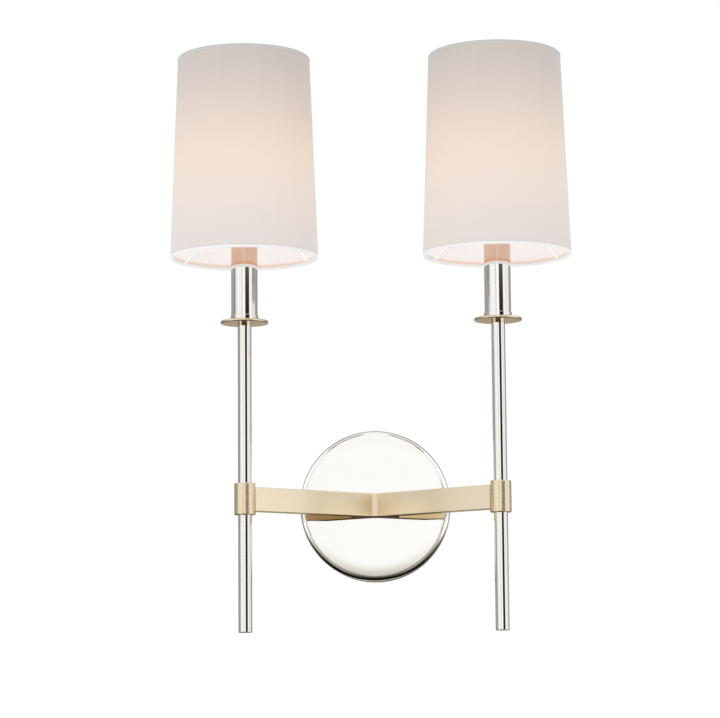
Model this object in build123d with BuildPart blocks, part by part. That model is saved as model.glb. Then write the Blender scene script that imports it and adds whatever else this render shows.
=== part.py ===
from build123d import *
from math import atan2, cos, hypot, radians, sin, sqrt, tan
import os

# A two-lamp wall sconce, in millimetres.
# The origin is on the wall, at the middle of the wall plate. The wall is the plane Y = 0, the front is -Y,
# +X is to the right and +Z is up. The arms lie level at Z = 0.

# Wall plate: a shallow pan with a flat middle, a gently falling border and a rounded edge
plate_d = 142.5
plate_depth = 25.0
plate_wall = 1.5
plate_fall_r = 200.0
plate_fall_angle = 5.0
plate_edge_r = 5.5

# Arms, hub, collars and rods
rod_half_span = 116.5
rod_reach = 120.0
vertex_standoff = 1.6
arm_h = 22.0
arm_t = 12.0
arm_wall = 1.5
arm_edge_r = 0.6
hub_reach = 24.4
hub_strip_w = 5.2
spigot_len = 6.0
collar_d = 19.6
collar_h = 29.0
collar_edge_r = 0.8
rod_d = 12.7
rod_wall = 1.3
rod_bottom = -121.2
rod_top = 161.4
cap_t = 2.0
cap_spigot = 8.0
cap_edge_r = 0.8

# Disc, seat ring, candle sleeve and the threaded stem inside them
disc_d = 44.0
disc_t = 2.6
disc_edge_r = 1.1
seat_ring_d = 25.6
seat_ring_h = 5.0
seat_floor_t = 1.5
seat_edge_r = 0.4
sleeve_d = 24.3
sleeve_wall = 0.8
sleeve_len = 100.6
stem_wall = 1.5
stem_in_rod = 12.0
stem_in_socket = 8.0
stem_nut_flats = 14.0
stem_nut_h = 5.0

# Lamp holder and its ring
socket_gap = 0.15
socket_barrel_h = 36.0
socket_flange_d = 28.0
socket_flange_t = 2.0
socket_neck_d = 21.6
socket_neck_h = 16.0
socket_web_t = 3.0
shell_d = 13.2
shell_wall = 0.5
shell_depth = 32.0
shell_rim = 1.0
contact_d = 6.0
contact_t = 1.0
contact_dome = 1.5
lead_cavity_d = 8.0
ring_d = 29.0
ring_h = 6.0
ring_flutes = 16
ring_flute_r = 1.0

# Candle lamp
bulb_gap = 0.25
bulb_base_h = 16.5
bulb_tip_d = 4.0
bulb_tip_h = 2.5
bulb_d = 32.0
bulb_neck_d = 11.0
bulb_neck_h = 12.0
bulb_flare_r = 14.0
bulb_flare_angle = 40.0
bulb_taper_angle = 20.0
bulb_nose_r = 4.0
bulb_wall = 0.8
mount_stem_d = 6.0
mount_stem_h = 26.0
filament_d = 1.6
filament_len = 32.0
filament_circle = 5.6
filament_count = 4

# Shade: a tapered drum with a wire in each hem, on a three-spoke fitter
shade_bottom_d = 136.4
shade_top_d = 122.4
shade_h = 188.7
shade_wall_t = 0.65
shade_wire_d = 1.5
hem_gap = 0.42
hem_lip_drop = 0.6
fitter_recess = 46.2
fitter_t = 1.6
fitter_d = 34.0
spoke_d = 2.6
spoke_gap = 0.15
spoke_bite = 0.8
spoke_angles = (-90, 30, 150)

# Mounting strap and the fasteners
strap_w = 20.0
strap_t = 1.8
strap_bend_r = 1.0
ear_gap = 0.4
ear_depth = 17.0
slot_spacing = 79.0
slot_len = 20.0
slot_w = 5.0
strap_hole_d = 10.4
screw_d = 4.0
screw_head_d = 7.2
screw_head_h = 2.4
screw_tail = 1.5
plate_screw_y = 10.0
ground_screw_x = 18.0
hub_screw_x = 12.0
hub_screw_z = 6.0
hub_screw_bite = 8.0
set_screw_angle = 30.0
set_screw_sink = 0.3
stiffener_w = 38.0
stiffener_h = 24.0
stiffener_t = 2.0
stiffener_corner_r = 3.0
bushing_wall = 1.0
bushing_flange = 2.0
bushing_flange_t = 1.5

# Leads and connectors
lead_d = 1.9
lead_offset = 1.2
lead_way_d = 7.0
lead_bend_in = 6.0
lead_bend_out = 8.0
lead_turn_y = 12.0
connector_d = 11.0
connector_len = 22.0
connector_taper = 5.0
connector_bore_d = 5.4
connector_bore = 14.0
connector_start = 18.0

# Clearances
joint_gap = 0.05
hole_gap = 0.15

# Heights on a lamp's axis, from the rod's top upwards
rod_bore_d = rod_d - 2 * rod_wall
stem_d = rod_bore_d - 2 * joint_gap
stem_bore_d = stem_d - 2 * stem_wall
disc_top = rod_top + disc_t
sleeve_bottom = disc_top + seat_floor_t
sleeve_top = sleeve_bottom + sleeve_len
sleeve_bore_d = sleeve_d - 2 * sleeve_wall
fitter_seat = sleeve_top + socket_flange_t
socket_bottom = sleeve_top - socket_barrel_h
socket_top = fitter_seat + socket_neck_h
socket_floor = socket_top - shell_depth
lead_top = socket_floor - socket_web_t
shell_bore_d = shell_d - 2 * shell_wall
bulb_tip = socket_floor + contact_t + contact_dome
bulb_base_d = shell_bore_d - 2 * bulb_gap
glass_bottom = bulb_tip + bulb_base_h
hem_r = shade_wire_d / 2 + hem_gap + shade_wall_t
shade_bottom = fitter_seat - fitter_recess
bottom_wire = Vector(shade_bottom_d / 2 - hem_r, shade_bottom + hem_r)
top_wire = Vector(shade_top_d / 2 - hem_r, shade_bottom + shade_h - hem_r)

# Plan of the arms: each centre line runs from its rod to one point just in front of the plate
vertex_reach = plate_depth + vertex_standoff
arm_angle = atan2(rod_reach - vertex_reach, rod_half_span)
arm_run = hypot(rod_reach - vertex_reach, rod_half_span)
arm_end = arm_run - hub_reach
plate_inside = plate_depth - plate_wall
stiffener_back = plate_inside - stiffener_t
bushing_d = lead_way_d + 2 * bushing_wall
hub_screw_places = ((hub_screw_x, hub_screw_z), (-hub_screw_x, -hub_screw_z))
sides = (("left", -1), ("right", 1))

os.makedirs("parts", exist_ok=True)


def save(piece, name):
    """Label a finished piece and write it as a node of that name."""
    piece.part.label = name
    export_step(piece.part, f"parts/{name}.step")


def rod_axis(sign):
    """Upright axis of one rod."""
    return Axis((sign * rod_half_span, -rod_reach, 0), (0, 0, 1))


def level(sign, height):
    """Level plane on a rod's axis, at a height above the arms."""
    return Plane(origin=(sign * rod_half_span, -rod_reach, height))


def section(sign):
    """Upright plane through a rod's axis: its x is the radius and its y the height."""
    return Plane(origin=(sign * rod_half_span, -rod_reach, 0), x_dir=(1, 0, 0), z_dir=(0, -1, 0))


def toward_hub(sign):
    """Level direction from a rod to the hub."""
    return Vector(-sign * cos(arm_angle), sin(arm_angle), 0)


def arm_plane(sign, distance):
    """Plane across an arm, with its y up, at a distance from the rod's axis towards the hub."""
    way = toward_hub(sign)
    start = Vector(sign * rod_half_span, -rod_reach, 0)
    return Plane(origin=start + way * distance, x_dir=(-way.Y, way.X, 0), z_dir=way)


def round_face(plane, diameter):
    """Round face on a plane."""
    with BuildSketch(plane) as face:
        Circle(diameter / 2)
    return face.sketch


def tube_face(plane, outer_d, bore_d):
    """Ring-shaped face on a plane."""
    with BuildSketch(plane) as face:
        Circle(outer_d / 2)
        Circle(bore_d / 2, mode=Mode.SUBTRACT)
    return face.sketch


def plate_outline(inset):
    """Half section of the wall plate's front and side, moved inwards by an inset."""
    fall = radians(plate_fall_angle)
    flat_r = plate_d / 2 - plate_fall_r * sin(fall) - plate_edge_r * (1 - sin(fall))
    with BuildLine() as outline:
        front = Line((0, inset - plate_depth), (flat_r, inset - plate_depth))
        border = JernArc(front @ 1, (1, 0), plate_fall_r - inset, plate_fall_angle)
        edge = JernArc(border @ 1, border % 1, plate_edge_r - inset, 90 - plate_fall_angle)
        side = Line(edge @ 1, ((edge @ 1).X, 0))
        Polyline(side @ 1, (0, 0), front @ 0)
    return outline.edges()


# Wall plate
with BuildPart() as backplate:
    with BuildSketch(Plane.XY):
        make_face(plate_outline(0))
    revolve(axis=Axis.Y)
    with BuildSketch(Plane.XY):
        make_face(plate_outline(plate_wall))
    revolve(axis=Axis.Y, mode=Mode.SUBTRACT)
    with BuildSketch(Plane.XZ.offset(plate_inside)):
        Circle(bushing_d / 2 + hole_gap)
        with Locations(*hub_screw_places):
            Circle(screw_d / 2 + hole_gap)
    extrude(amount=plate_wall, mode=Mode.SUBTRACT)
    with BuildSketch(Plane.YZ):
        with Locations((-plate_screw_y, 0)):
            Circle(screw_d / 2 + hole_gap)
    extrude(amount=plate_d / 2, both=True, mode=Mode.SUBTRACT)
save(backplate, "backplate")

# Mounting strap: a channel with two slots for the box screws and an ear at each end for the plate screws
ear_x = sqrt((plate_d / 2 - plate_wall) ** 2 - (strap_w / 2) ** 2) - ear_gap
with BuildPart() as mounting_strap:
    with BuildSketch(Plane.XY.offset(-strap_w / 2)) as channel:
        Rectangle(2 * ear_x, ear_depth, align=(Align.CENTER, Align.MAX))
        fillet(channel.vertices().group_by(Axis.Y)[-1], strap_t + strap_bend_r)
        with BuildLine():
            inner_x = ear_x - strap_t
            inner = [(-inner_x, -ear_depth), (-inner_x, -strap_t), (inner_x, -strap_t), (inner_x, -ear_depth)]
            bend = FilletPolyline(*inner, radius=strap_bend_r)
            Line(bend @ 1, bend @ 0)
        make_face(mode=Mode.SUBTRACT)
    extrude(amount=strap_w)
    with BuildSketch(Plane.XZ):
        Circle(strap_hole_d / 2)
        with Locations((slot_spacing / 2, 0), (-slot_spacing / 2, 0)):
            SlotOverall(slot_len, slot_w)
        with Locations((ground_screw_x, 0)):
            Circle(screw_d / 2 + joint_gap)
    extrude(amount=strap_t, mode=Mode.SUBTRACT)
    with BuildSketch(Plane.YZ):
        with Locations((-plate_screw_y, 0)):
            Circle(screw_d / 2 + joint_gap)
    extrude(amount=plate_d / 2, both=True, mode=Mode.SUBTRACT)
save(mounting_strap, "mounting_strap")


def screw_face(seat, grip):
    """Half section of a round-headed screw, with its head on the seat's plane and its shank behind it."""
    with BuildSketch(Plane(origin=seat.origin, x_dir=seat.x_dir, z_dir=seat.x_dir.cross(seat.z_dir))) as face:
        with BuildLine():
            dome = TangentArc((0, screw_head_h), (screw_head_d / 2, 0), tangent=(1, 0))
            shank = [(screw_d / 2, 0), (screw_d / 2, -grip), (0, -grip)]
            Polyline(dome @ 1, *shank, dome @ 0)
        make_face()
    return face.sketch


def screw_axis(seat):
    """Axis of a screw that stands on a plane."""
    return Axis(seat.origin, seat.z_dir)


# Two screws through the plate's side into the strap's ears
with BuildPart() as plate_screws:
    for sign in (-1, 1):
        side_seat = Plane(origin=(sign * plate_d / 2, -plate_screw_y, 0), z_dir=(sign, 0, 0))
        grip = plate_d / 2 - ear_x + strap_t + screw_tail
        revolve(screw_face(side_seat, grip), axis=screw_axis(side_seat))
save(plate_screws, "plate_screws")

# Earthing screw in the strap
with BuildPart() as ground_screw:
    strap_face = Plane(origin=(ground_screw_x, -strap_t, 0), z_dir=(0, -1, 0))
    revolve(screw_face(strap_face, strap_t), axis=screw_axis(strap_face))
save(ground_screw, "ground_screw")

# Stiffener behind the plate's middle, with the hub's two screws through it
with BuildPart() as stiffener_plate:
    with BuildSketch(Plane.XZ.offset(stiffener_back)):
        RectangleRounded(stiffener_w, stiffener_h, stiffener_corner_r)
        Circle(bushing_d / 2 + hole_gap, mode=Mode.SUBTRACT)
        with Locations(*hub_screw_places):
            Circle(screw_d / 2 + hole_gap, mode=Mode.SUBTRACT)
    extrude(amount=stiffener_t)
save(stiffener_plate, "stiffener_plate")

with BuildPart() as hub_screws:
    for across, up in hub_screw_places:
        inside_seat = Plane(origin=(across, -stiffener_back, up), z_dir=(0, 1, 0))
        grip = stiffener_t + plate_wall + hub_screw_bite
        revolve(screw_face(inside_seat, grip), axis=screw_axis(inside_seat))
save(hub_screws, "hub_screws")

# Bushing that keeps the leads off the plate's edge
with BuildPart() as wire_bushing:
    flange_plane = Plane.XZ.offset(stiffener_back - bushing_flange_t)
    extrude(round_face(Plane.XZ.offset(stiffener_back), bushing_d), amount=stiffener_t + plate_wall)
    extrude(round_face(flange_plane, bushing_d + 2 * bushing_flange), amount=bushing_flange_t)
    bushing_len = bushing_flange_t + stiffener_t + plate_wall
    extrude(round_face(flange_plane, lead_way_d), amount=bushing_len, mode=Mode.SUBTRACT)
save(wire_bushing, "wire_bushing")

# Hub: a chevron block that carries both arms, with a narrow flat strip at the inside of the V
end_x = hub_reach * cos(arm_angle)
end_y = -vertex_reach - hub_reach * sin(arm_angle)
half_across = (arm_t / 2 * sin(arm_angle), arm_t / 2 * cos(arm_angle))
hub_front = (end_x - half_across[0], end_y - half_across[1])
hub_back = (end_x + half_across[0], end_y + half_across[1])
strip_y = hub_front[1] + (hub_front[0] - hub_strip_w / 2) * tan(arm_angle)
with BuildPart() as hub:
    with BuildSketch(Plane.XY.offset(-arm_h / 2)):
        with BuildLine():
            hub_strip = (hub_strip_w / 2, strip_y)
            hub_foot = (hub_back[0], -plate_depth)
            Polyline((0, strip_y), hub_strip, hub_front, hub_back, hub_foot, (0, -plate_depth), close=True)
        make_face()
        mirror(about=Plane.YZ)
    extrude(amount=arm_h)
    level_edges = hub.edges().group_by(Axis.Z)[0] + hub.edges().group_by(Axis.Z)[-1]
    inner_edges = level_edges.filter_by(lambda edge: abs(edge.center().X) < hub_front[0])
    fillet(inner_edges.filter_by(lambda edge: edge.center().Y < -plate_depth), arm_edge_r)
    for _, sign in sides:
        with BuildSketch(arm_plane(sign, arm_end)):
            Rectangle(arm_t - 2 * arm_wall - 2 * joint_gap, arm_h - 2 * arm_wall - 2 * joint_gap)
        extrude(amount=-spigot_len)
        lead_way = round_face(arm_plane(sign, arm_end - spigot_len), lead_way_d)
        extrude(lead_way, amount=spigot_len + hub_reach, mode=Mode.SUBTRACT)
    back_way = round_face(Plane.XZ.offset(plate_depth), lead_way_d)
    extrude(back_way, amount=vertex_standoff + lead_way_d / 2, mode=Mode.SUBTRACT)
    with BuildSketch(Plane.XZ.offset(plate_depth)):
        with Locations(*hub_screw_places):
            Circle(screw_d / 2 + joint_gap)
    extrude(amount=hub_screw_bite + joint_gap, mode=Mode.SUBTRACT)
save(hub, "hub")


def make_arm(side, sign):
    """Rectangular tube from a collar to the hub, coped round the collar."""
    with BuildPart() as arm:
        with BuildSketch(arm_plane(sign, 0)):
            RectangleRounded(arm_t, arm_h, arm_edge_r)
            Rectangle(arm_t - 2 * arm_wall, arm_h - 2 * arm_wall, mode=Mode.SUBTRACT)
        extrude(amount=arm_end)
        cope = round_face(level(sign, -arm_h), collar_d + 2 * joint_gap)
        extrude(cope, amount=2 * arm_h, mode=Mode.SUBTRACT)
    save(arm, f"{side}_arm")


def set_screw_plane(sign):
    """Plane on the rod's surface, facing out of the back of the collar and away from the arm."""
    turn = radians(set_screw_angle)
    out = Vector(sign * sin(turn), cos(turn), 0)
    start = Vector(sign * rod_half_span, -rod_reach, 0)
    return Plane(origin=start + out * (rod_d / 2 + joint_gap), z_dir=out)


def make_collar(side, sign):
    """Cylinder that grips the rod, with a way in for the leads and a set screw's hole."""
    with BuildPart() as collar:
        collar_base = level(sign, -collar_h / 2)
        extrude(round_face(collar_base, collar_d), amount=collar_h)
        fillet(collar.edges().filter_by(GeomType.CIRCLE), collar_edge_r)
        extrude(round_face(collar_base, rod_d + 2 * joint_gap), amount=collar_h, mode=Mode.SUBTRACT)
        extrude(round_face(arm_plane(sign, 0), lead_way_d), amount=collar_d, mode=Mode.SUBTRACT)
        set_screw_way = round_face(set_screw_plane(sign), screw_d + 2 * joint_gap)
        extrude(set_screw_way, amount=collar_d / 2, mode=Mode.SUBTRACT)
    save(collar, f"{side}_collar")


def make_rod(side, sign):
    """Upright tube with a window for the leads, and the cap that closes its lower end."""
    with BuildPart() as rod:
        rod_foot = rod_bottom + cap_t
        extrude(tube_face(level(sign, rod_foot), rod_d, rod_bore_d), amount=rod_top - rod_foot)
        extrude(round_face(arm_plane(sign, 0), lead_way_d), amount=rod_d, mode=Mode.SUBTRACT)
    save(rod, f"{side}_rod")
    with BuildPart() as rod_end_cap:
        extrude(round_face(level(sign, rod_bottom), rod_d), amount=cap_t)
        fillet(rod_end_cap.edges().group_by(Axis.Z)[0], cap_edge_r)
        extrude(round_face(level(sign, rod_foot), rod_bore_d - 2 * joint_gap), amount=cap_spigot)
    save(rod_end_cap, f"{side}_rod_end_cap")


def make_candle(side, sign):
    """Disc on the rod's top, the ring on it, the sleeve in the ring and the threaded stem through them."""
    with BuildPart() as disc:
        extrude(round_face(level(sign, rod_top), disc_d), amount=disc_t)
        fillet(disc.edges().filter_by(GeomType.CIRCLE), disc_edge_r)
        extrude(round_face(level(sign, rod_top), rod_bore_d), amount=disc_t, mode=Mode.SUBTRACT)
    save(disc, f"{side}_disc")
    with BuildPart() as seat_ring:
        extrude(round_face(level(sign, disc_top), seat_ring_d), amount=seat_ring_h)
        fillet(seat_ring.edges().filter_by(GeomType.CIRCLE), seat_edge_r)
        extrude(round_face(level(sign, disc_top), rod_bore_d), amount=seat_ring_h, mode=Mode.SUBTRACT)
        sleeve_seat = round_face(level(sign, sleeve_bottom), sleeve_d + 2 * joint_gap)
        extrude(sleeve_seat, amount=seat_ring_h - seat_floor_t, mode=Mode.SUBTRACT)
    save(seat_ring, f"{side}_seat_ring")
    with BuildPart() as candle_sleeve:
        extrude(tube_face(level(sign, sleeve_bottom), sleeve_d, sleeve_bore_d), amount=sleeve_len)
    save(candle_sleeve, f"{side}_candle_sleeve")
    with BuildPart() as socket_stem:
        stem_len = stem_in_rod + socket_bottom - rod_top + stem_in_socket
        extrude(tube_face(level(sign, rod_top - stem_in_rod), stem_d, stem_bore_d), amount=stem_len)
    save(socket_stem, f"{side}_socket_stem")


def make_socket(side, sign):
    """Lamp holder with a flange on the sleeve and a neck for the shade; its shell, contact and ring."""
    with BuildPart() as socket_body:
        barrel_d = sleeve_bore_d - 2 * socket_gap
        extrude(round_face(level(sign, socket_bottom), barrel_d), amount=socket_barrel_h)
        extrude(round_face(level(sign, sleeve_top), socket_flange_d), amount=socket_flange_t)
        extrude(round_face(level(sign, fitter_seat), socket_neck_d), amount=socket_neck_h)
        stem_way = round_face(level(sign, socket_bottom), rod_bore_d)
        extrude(stem_way, amount=stem_in_socket, mode=Mode.SUBTRACT)
        cavity = round_face(level(sign, socket_bottom), lead_cavity_d)
        extrude(cavity, amount=lead_top - socket_bottom, mode=Mode.SUBTRACT)
        shell_way = round_face(level(sign, socket_floor), shell_d + 2 * joint_gap)
        extrude(shell_way, amount=shell_depth, mode=Mode.SUBTRACT)
    save(socket_body, f"{side}_socket_body")
    with BuildPart() as socket_shell:
        shell_base = tube_face(level(sign, socket_floor), shell_d, shell_bore_d)
        extrude(shell_base, amount=shell_depth - shell_rim)
    save(socket_shell, f"{side}_socket_shell")
    with BuildPart() as socket_contact:
        extrude(round_face(level(sign, socket_floor), contact_d), amount=contact_t)
        extrude(round_face(level(sign, socket_floor + contact_t), bulb_tip_d), amount=contact_dome)
    save(socket_contact, f"{side}_socket_contact")
    with BuildPart() as retaining_ring:
        ring_seat = level(sign, fitter_seat + fitter_t)
        extrude(tube_face(ring_seat, ring_d, socket_neck_d + 2 * joint_gap), amount=ring_h)
        with BuildSketch(ring_seat):
            with PolarLocations(ring_d / 2, ring_flutes):
                Circle(ring_flute_r)
        extrude(amount=ring_h, mode=Mode.SUBTRACT)
    save(retaining_ring, f"{side}_retaining_ring")


def bulb_outline(inset):
    """Half section of the glass, a flame of tangent arcs and a straight taper, moved inwards by an inset."""
    flare_angle = radians(bulb_flare_angle)
    taper_angle = radians(bulb_taper_angle)
    belly_r = (bulb_d - bulb_neck_d) / 2 / (1 - cos(flare_angle)) - bulb_flare_r
    taper_start_x = bulb_d / 2 - belly_r * (1 - cos(taper_angle))
    taper_len = (taper_start_x - bulb_nose_r * cos(taper_angle)) / sin(taper_angle)
    neck_r = bulb_neck_d / 2 - inset
    with BuildLine() as outline:
        neck = Line((neck_r, glass_bottom), (neck_r, glass_bottom + bulb_neck_h))
        flare = JernArc(neck @ 1, (0, 1), bulb_flare_r + inset, -bulb_flare_angle)
        belly = JernArc(flare @ 1, flare % 1, belly_r - inset, bulb_flare_angle + bulb_taper_angle)
        taper = Line(belly @ 1, belly @ 1 + (belly % 1) * taper_len)
        nose = JernArc(taper @ 1, taper % 1, bulb_nose_r - inset, 90 - bulb_taper_angle)
        Polyline(nose @ 1, (0, glass_bottom), neck @ 0)
    return outline.edges()


def make_bulb(side, sign):
    """Candle lamp: screw base with a contact tip, hollow glass, and filaments on a glass stem."""
    with BuildPart() as bulb_base:
        shell_foot = level(sign, bulb_tip + bulb_tip_h)
        extrude(round_face(shell_foot, bulb_base_d), amount=bulb_base_h - bulb_tip_h)
        chamfer(bulb_base.edges().group_by(Axis.Z)[0], bulb_tip_h / 2)
        extrude(round_face(level(sign, bulb_tip), bulb_tip_d), amount=bulb_tip_h)
    save(bulb_base, f"{side}_bulb_base")
    with BuildPart() as bulb_glass:
        with BuildSketch(section(sign)):
            make_face(bulb_outline(0))
        revolve(axis=rod_axis(sign))
        with BuildSketch(section(sign)):
            make_face(bulb_outline(bulb_wall))
        revolve(axis=rod_axis(sign), mode=Mode.SUBTRACT)
    save(bulb_glass, f"{side}_bulb_glass")
    with BuildPart() as bulb_filament:
        extrude(round_face(level(sign, glass_bottom), mount_stem_d), amount=mount_stem_h)
        with BuildSketch(level(sign, glass_bottom + mount_stem_h)):
            with PolarLocations(filament_circle / 2 - filament_d / 2, filament_count):
                Circle(filament_d / 2)
        extrude(amount=filament_len)
    save(bulb_filament, f"{side}_bulb_filament")


def wire_face(sign, centre):
    """Section of a shade wire, at a radius and height about a rod's axis."""
    with BuildSketch(section(sign)) as face:
        with Locations((centre.X, centre.Y)):
            Circle(shade_wire_d / 2)
    return face.sketch


def hem(centre, lean, upper):
    """Section of a hem turned over a wire: an open hook, drawn in the sketch being built."""
    open_side = Align.MAX if upper else Align.MIN
    lip = hem_lip_drop if upper else -hem_lip_drop
    with Locations(Location((centre.X, centre.Y), lean)):
        Circle(hem_r)
        Circle(hem_r - shade_wall_t, mode=Mode.SUBTRACT)
        Rectangle(2 * hem_r, hem_r, align=(Align.CENTER, open_side), mode=Mode.SUBTRACT)
    with Locations(Location((centre.X, centre.Y), lean) * Location((0, lip))):
        Rectangle(hem_r, hem_r, align=(Align.MAX, open_side), mode=Mode.SUBTRACT)


def make_shade(side, sign):
    """Tapered drum of fabric hemmed over two wires, and the white fitter that hangs it on the lamp holder."""
    rise = top_wire - bottom_wire
    out = Vector(rise.Y, -rise.X).normalized()
    lean = -rise.get_signed_angle(Vector(0, 1), Vector(0, 0, 1))
    inner = out * (hem_r - shade_wall_t)
    outer = out * hem_r
    corners = (bottom_wire + inner, bottom_wire + outer, top_wire + outer, top_wire + inner)
    with BuildPart() as shade_wall:
        with BuildSketch(section(sign)):
            hem(bottom_wire, lean, upper=False)
            hem(top_wire, lean, upper=True)
            Polygon(*[(corner.X, corner.Y) for corner in corners], align=None)
        revolve(axis=rod_axis(sign))
    save(shade_wall, f"{side}_shade_wall")
    with BuildPart() as shade_top_ring:
        revolve(wire_face(sign, top_wire), axis=rod_axis(sign))
    save(shade_top_ring, f"{side}_shade_top_ring")
    with BuildPart() as shade_bottom_ring:
        revolve(wire_face(sign, bottom_wire), axis=rod_axis(sign))
    save(shade_bottom_ring, f"{side}_shade_bottom_ring")
    with BuildPart() as shade_fitter:
        washer = tube_face(level(sign, fitter_seat), fitter_d, socket_neck_d + 2 * joint_gap)
        extrude(washer, amount=fitter_t)
        spoke_end = Vector(fitter_d / 2 - spoke_bite, fitter_seat + fitter_t / 2)
        climb = (spoke_end - bottom_wire).normalized()
        foot = bottom_wire + climb * (shade_wire_d / 2 + spoke_gap)
        for angle in spoke_angles:
            spread = Vector(cos(radians(angle)), sin(radians(angle)), 0)
            middle = Vector(sign * rod_half_span, -rod_reach, 0)
            start = middle + spread * foot.X + Vector(0, 0, foot.Y)
            way = spread * climb.X + Vector(0, 0, climb.Y)
            extrude(round_face(Plane(origin=start, z_dir=way), spoke_d), amount=(spoke_end - foot).length)
    save(shade_fitter, f"{side}_shade_fitter")


def make_lead(side, sign, name, tier):
    """One lead from the lamp holder down the rod, along the arm, through the hub and into its connector."""
    start = Vector(sign * rod_half_span, -rod_reach, 0)
    in_rod = start + toward_hub(sign) * (tier * lead_offset)
    height = tier * lead_offset
    turn_y = -vertex_reach - lead_offset * tan(arm_angle)
    end = tier * (connector_start + connector_bore)
    route = (
        (in_rod.X, in_rod.Y, lead_top),
        (in_rod.X, in_rod.Y, height),
        (sign * lead_offset, turn_y, height),
        (sign * lead_offset, -lead_turn_y, height),
        (sign * lead_offset, -lead_turn_y, end),
    )
    first_bend = lead_bend_in if tier > 0 else lead_bend_out
    with BuildPart() as lead:
        with BuildLine() as path:
            FilletPolyline(*route, radius=[first_bend, lead_bend_in, lead_bend_in])
        with BuildSketch(Plane(origin=route[0], z_dir=(0, 0, -1))):
            Circle(lead_d / 2)
        sweep(path=path.wires()[0])
    save(lead, f"{side}_{name}")


for side, sign in sides:
    make_arm(side, sign)
    make_collar(side, sign)
    make_rod(side, sign)
    make_candle(side, sign)
    make_socket(side, sign)
    make_bulb(side, sign)
    make_shade(side, sign)
    make_lead(side, sign, "hot_lead", 1)
    make_lead(side, sign, "neutral_lead", -1)

# Nuts that clamp the disc and the seat ring on the rods' tops
with BuildPart() as stem_nuts:
    for _, sign in sides:
        with BuildSketch(level(sign, sleeve_bottom)):
            RegularPolygon(stem_nut_flats / 2, 6, major_radius=False)
            Circle(stem_d / 2 + joint_gap, mode=Mode.SUBTRACT)
        extrude(amount=stem_nut_h)
save(stem_nuts, "stem_nuts")

# Set screws in the backs of the collars
with BuildPart() as collar_screws:
    for _, sign in sides:
        set_screw_len = collar_d / 2 - rod_d / 2 - joint_gap - set_screw_sink
        extrude(round_face(set_screw_plane(sign), screw_d), amount=set_screw_len)
save(collar_screws, "collar_screws")

# Twist-on connectors, one over the two hot leads and one over the two neutral leads
with BuildPart() as wire_connectors:
    for tier in (1, -1):
        mouth = Plane(origin=(0, -lead_turn_y, tier * connector_start), z_dir=(0, 0, tier))
        extrude(round_face(mouth, connector_d), amount=connector_len, taper=connector_taper)
        extrude(round_face(mouth, connector_bore_d), amount=connector_bore, mode=Mode.SUBTRACT)
save(wire_connectors, "wire_connectors")
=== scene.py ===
# %% [markdown]
# # A two-lamp wall sconce, dressed in Blender
# The imported model is the fixed frame: every node already lies where the maker put it, in metres, with the wall
# at Y = 0, the front towards -Y and the arms level at Z = 0.

# %% Load the frame
from math import cos, pi, radians, sin

import bmesh
import bpy
import numpy as np
from mathutils import Matrix, Vector


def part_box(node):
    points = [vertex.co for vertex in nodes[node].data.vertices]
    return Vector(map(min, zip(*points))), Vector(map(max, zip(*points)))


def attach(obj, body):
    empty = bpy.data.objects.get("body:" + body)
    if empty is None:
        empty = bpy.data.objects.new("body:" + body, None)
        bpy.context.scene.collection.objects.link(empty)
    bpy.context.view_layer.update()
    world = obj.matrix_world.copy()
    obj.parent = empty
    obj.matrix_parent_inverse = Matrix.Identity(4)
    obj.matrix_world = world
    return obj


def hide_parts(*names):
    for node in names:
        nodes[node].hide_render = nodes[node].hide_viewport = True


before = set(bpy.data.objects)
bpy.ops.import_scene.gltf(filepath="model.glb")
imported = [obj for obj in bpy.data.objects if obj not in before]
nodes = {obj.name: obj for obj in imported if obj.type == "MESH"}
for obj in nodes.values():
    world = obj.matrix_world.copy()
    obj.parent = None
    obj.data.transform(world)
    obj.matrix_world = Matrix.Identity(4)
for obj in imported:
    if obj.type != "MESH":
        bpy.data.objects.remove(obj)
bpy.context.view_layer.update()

scene = bpy.context.scene
scene.view_settings.view_transform = "Standard"


def rounded(box):
    """Corners of a box to a tenth of a millimetre, for printing."""
    return [tuple(round(v, 4) for v in corner) for corner in box]


# %% [markdown]
# ## Camera
# The picture was taken from a little below and to the right, from about two and a half metres, with a long lens.
# We could aim the camera by eye, but a camera fitted to the edges of the shades, rods and plate is exact, so its
# place, turn, tilt and roll are written here as numbers. Turn and tilt give the forward direction, and right and up
# are then rolled about it, which is why the matrix is built from three directions.

# %% Camera
IMAGE_WIDTH = 720
CAMERA_PLACE = Vector((0.05726, -2.57631, -0.19192))
CAMERA_TILT, CAMERA_TURN, CAMERA_ROLL = radians(7.41), radians(1.58), radians(-0.48)
FOCAL_PIXELS = 2702.15
CLIP_END = 50


def camera_axes(tilt, turn, roll):
    """Right, up and forward: forward from turn and tilt, then right and up rolled about it."""
    forward = Vector((-sin(turn) * cos(tilt), cos(turn) * cos(tilt), sin(tilt)))
    level_right = forward.cross(Vector((0, 0, 1))).normalized()
    level_up = level_right.cross(forward)
    right = cos(roll) * level_right + sin(roll) * level_up
    up = cos(roll) * level_up - sin(roll) * level_right
    return right, up, forward


lens_data = bpy.data.cameras.new("studio_camera")
lens_data.sensor_fit = "HORIZONTAL"
lens_data.lens = FOCAL_PIXELS * lens_data.sensor_width / IMAGE_WIDTH
lens_data.clip_end = CLIP_END
camera = bpy.data.objects.new("studio_camera", lens_data)
scene.collection.objects.link(camera)
right, up, forward = camera_axes(CAMERA_TILT, CAMERA_TURN, CAMERA_ROLL)
camera.matrix_world = Matrix.Translation(CAMERA_PLACE) @ Matrix((right, up, -forward)).transposed().to_4x4()
scene.camera = camera
print("camera: lens", round(lens_data.lens, 1), "mm")

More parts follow.
